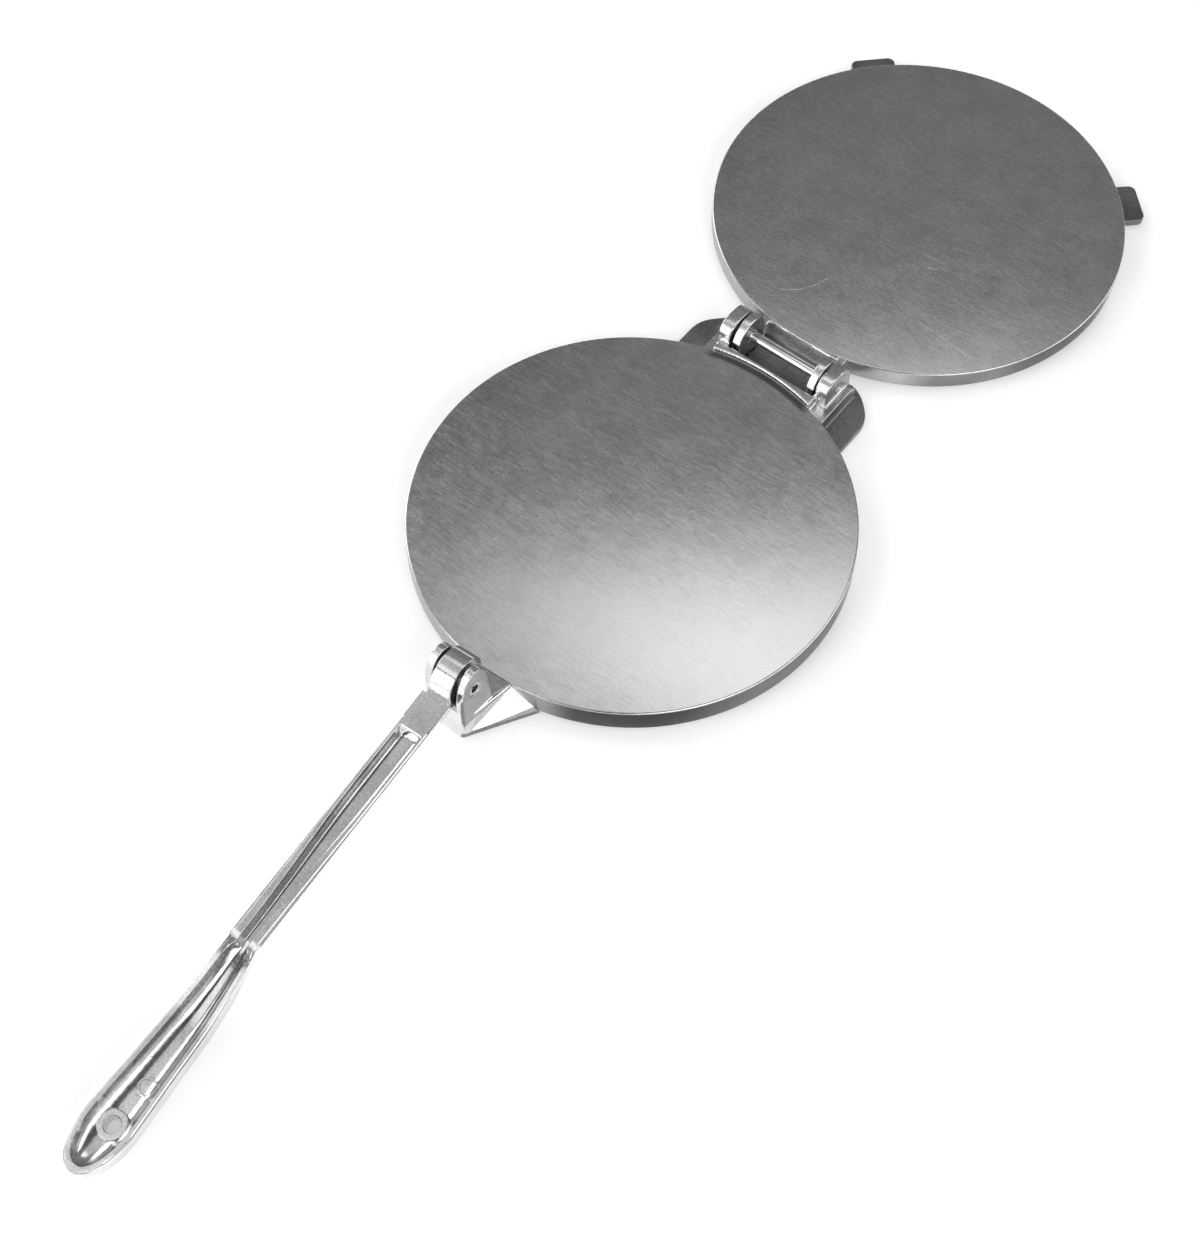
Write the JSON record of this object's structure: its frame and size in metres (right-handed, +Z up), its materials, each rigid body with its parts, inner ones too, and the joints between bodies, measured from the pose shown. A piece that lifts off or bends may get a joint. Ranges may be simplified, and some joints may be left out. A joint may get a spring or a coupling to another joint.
{
  "type": "tortilla press",
  "caption": "Cast aluminium tortilla press lying open: round hinged pressing plates, and a long lever handle with a spoon-shaped grip on a front clevis.",
  "frame": {"origin": "centre of the bounding box's bottom, on the table, with the press lying fully open", "axes": "+X along the press from the handle's grip to the top plate, +Y along the hinge pin, +Z up from the table"},
  "size_m": [0.6972, 0.2032, 0.0477],
  "materials": {
    "base_aluminium": "cast aluminium, pressing face machined and brushed along the hinge's direction",
    "top_aluminium": "cast aluminium, pressing face machined and brushed, lightly scratched",
    "handle_aluminium": "cast aluminium, tumbled bright",
    "hinge_steel": "bright drawn steel rod",
    "spring_steel": "rolled spring steel"
  },
  "bodies": {
    "base": {"base_plate": "base_aluminium", "hinge_pin": "hinge_steel", "handle_pin": "spring_steel"},
    "top": {"top_plate": "top_aluminium"},
    "lever": {"handle": "handle_aluminium"}
  },
  "joints": [
    {"name": "top_hinge", "type": "hinge", "parent": "base", "child": "top", "pos_m": [0.13124, 0, 0.015], "axis": [0, -1, 0], "range_deg": [0, 180.4]},
    {"name": "handle_pivot", "type": "hinge", "parent": "base", "child": "lever", "pos_m": [-0.1045, 0, 0.035], "axis": [0, 1, 0], "range_deg": [0, 185.5]}
  ]
}
